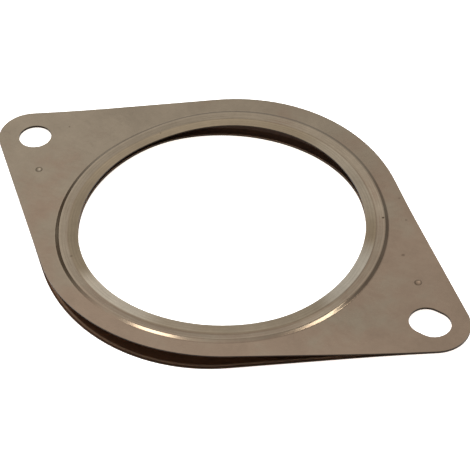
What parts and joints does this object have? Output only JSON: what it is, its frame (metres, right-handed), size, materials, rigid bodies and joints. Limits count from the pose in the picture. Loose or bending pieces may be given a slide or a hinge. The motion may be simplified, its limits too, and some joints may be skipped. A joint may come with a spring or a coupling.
{
  "type": "exhaust gasket",
  "caption": "Oval flange gasket of thin embossed steel sheets with a large round bore, a round bolt hole and a slotted one, its sheets sprung apart beside the bore.",
  "frame": {"origin": "on the bore axis, half-way up, in the plane where the sheets meet", "axes": "+X from the bore to the slotted bolt hole, +Z along the bore axis, out of the upper sheet"},
  "size_m": [0.1486, 0.0976, 0.0056],
  "materials": {
    "sheet_steel": "satin"
  },
  "bodies": {
    "root": {"upper_sheet": "sheet_steel", "lower_sheet": "sheet_steel"}
  },
  "joints": []
}
